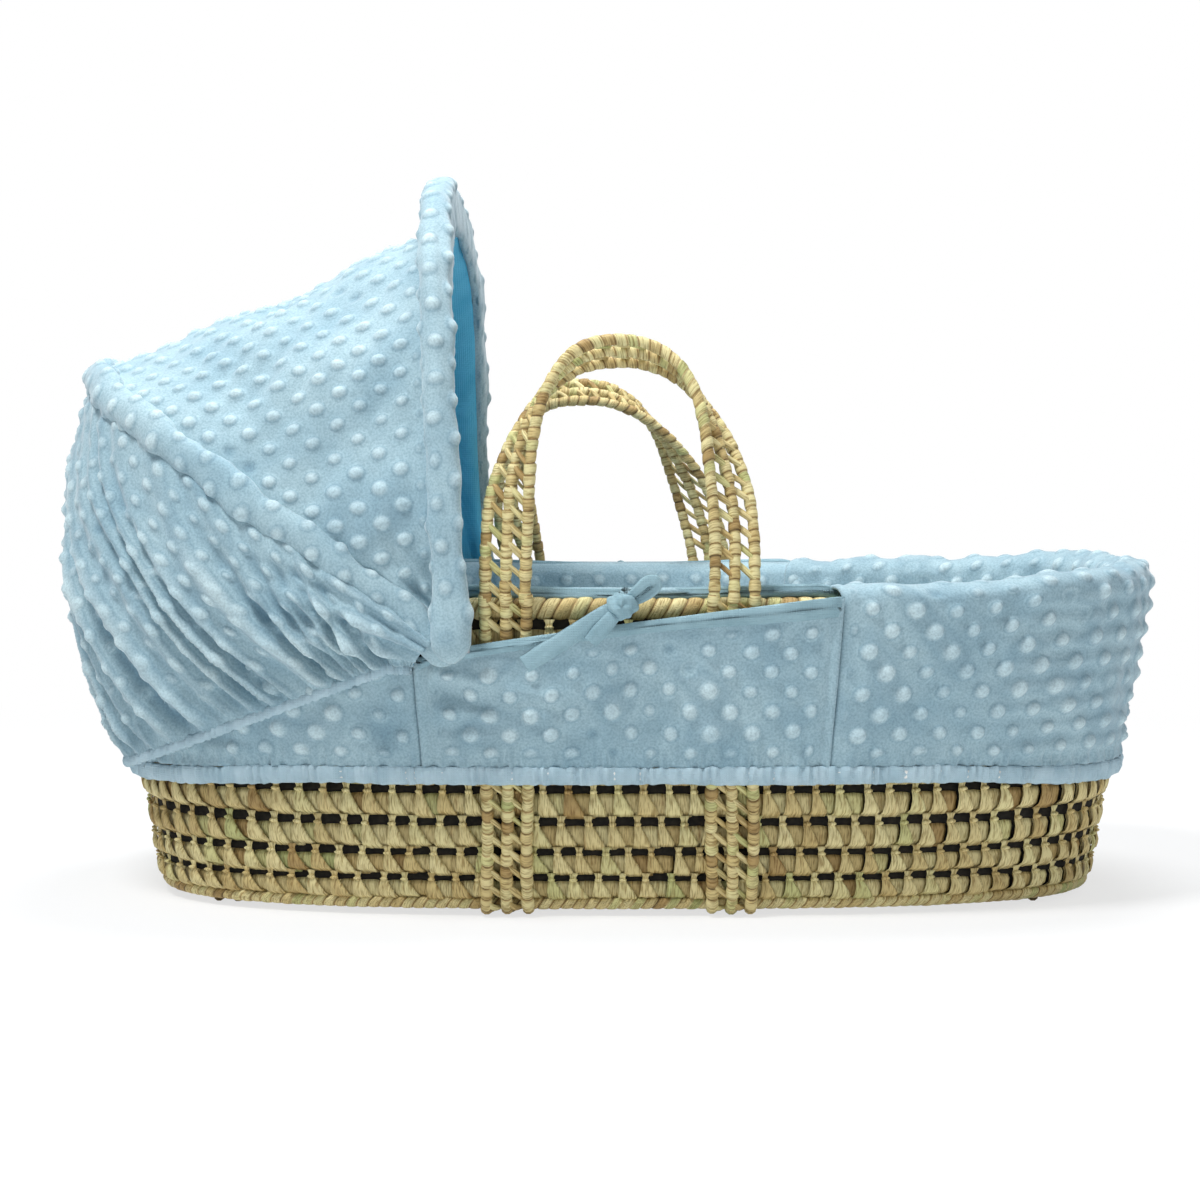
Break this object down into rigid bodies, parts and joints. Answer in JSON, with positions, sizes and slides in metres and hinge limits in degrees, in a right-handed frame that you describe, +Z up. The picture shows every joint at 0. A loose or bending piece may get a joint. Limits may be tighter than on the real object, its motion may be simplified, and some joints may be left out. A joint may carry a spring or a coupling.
{
  "type": "baby cradle basket",
  "caption": "Palm-leaf Moses basket cradle with a padded fabric cover, a folding two-hoop hood, two braided carrying handles and a loose mattress.",
  "frame": {"origin": "middle of the footprint's bounding box, on the floor that the basket stands on", "axes": "+X towards the foot end, away from the hood; +Y to the far side; +Z up"},
  "size_m": [0.8605, 0.4604, 0.5595],
  "materials": {
    "palm": "coiled palm leaf, dry matt straw with green and brown streaks",
    "braided_palm": "palm leaf wound and braided over a core, matt",
    "dimple_cloth": "soft short pile fabric embossed with raised dots",
    "woven_cloth": "plain woven cotton",
    "lining_cloth": "plain woven cotton lining",
    "elastic": "white braided elastic",
    "foam": "open cell foam",
    "mattress_ticking": "white cotton cover",
    "hoop_steel": "zinc plated spring steel"
  },
  "bodies": {
    "basket": {"basket_base": "palm", "wall_course_1": "palm", "wall_course_2": "palm", "wall_course_3": "palm", "wall_course_4": "palm", "wall_course_5": "palm", "wall_course_6": "palm", "wall_course_7": "palm", "wall_course_8": "palm", "wall_course_9": "palm", "rim_coil": "palm", "head_foot_runner": "braided_palm", "tail_foot_runner": "braided_palm", "head_carry_strap": "braided_palm", "tail_carry_strap": "braided_palm", "cover_head_panel": "dimple_cloth", "cover_foot_panel": "dimple_cloth", "cover_near_panel": "dimple_cloth", "cover_far_panel": "dimple_cloth", "padded_side_lining": "dimple_cloth", "cover_hem_casing": "woven_cloth", "near_side_tie": "woven_cloth", "far_side_tie": "woven_cloth", "hood_edge_elastic": "woven_cloth", "floor_cloth": "lining_cloth", "cover_hem_elastic": "elastic", "near_hood_rivet": "hoop_steel", "far_hood_rivet": "hoop_steel", "near_hood_bracket": "hoop_steel", "far_hood_bracket": "hoop_steel"},
    "rear_hoop": {"rear_hoop_wire": "hoop_steel", "rear_hoop_casing": "dimple_cloth", "hood_rear_panel": "dimple_cloth"},
    "front_hoop": {"front_hoop_wire": "hoop_steel", "front_hoop_casing": "dimple_cloth", "hood_top_panel": "dimple_cloth", "hood_inner_lining": "lining_cloth"},
    "near_handle": {"near_handle_inner_rail": "braided_palm", "near_handle_middle_rail": "braided_palm", "near_handle_outer_rail": "braided_palm", "near_handle_inner_lacing": "braided_palm", "near_handle_outer_lacing": "braided_palm"},
    "far_handle": {"far_handle_inner_rail": "braided_palm", "far_handle_middle_rail": "braided_palm", "far_handle_outer_rail": "braided_palm", "far_handle_inner_lacing": "braided_palm", "far_handle_outer_lacing": "braided_palm"},
    "mattress": {"mattress_core": "foam", "mattress_cover": "mattress_ticking"}
  },
  "joints": [
    {"name": "rear_hoop_fold", "type": "hinge", "parent": "basket", "child": "rear_hoop", "pos_m": [-0.1135, 0, 0.209], "axis": [0, -1, 0], "range_deg": [0, 28], "deforming": ["hood_rear_panel"]},
    {"name": "front_hoop_fold", "type": "hinge", "parent": "rear_hoop", "child": "front_hoop", "pos_m": [-0.1135, 0, 0.209], "axis": [0, -1, 0], "range_deg": [0, 36], "deforming": ["hood_top_panel", "hood_inner_lining"]},
    {"name": "near_handle_swing", "type": "hinge", "parent": "basket", "child": "near_handle", "pos_m": [0.007, -0.2098, 0.242], "axis": [1, 0, 0], "range_deg": [-70, 100]},
    {"name": "far_handle_swing", "type": "hinge", "parent": "basket", "child": "far_handle", "pos_m": [0.007, 0.2098, 0.242], "axis": [-1, 0, 0], "range_deg": [-70, 100]},
    {"name": "mattress_lift", "type": "slide", "parent": "basket", "child": "mattress", "axis": [0, 0, 1], "range_m": [0, 0.28]}
  ]
}
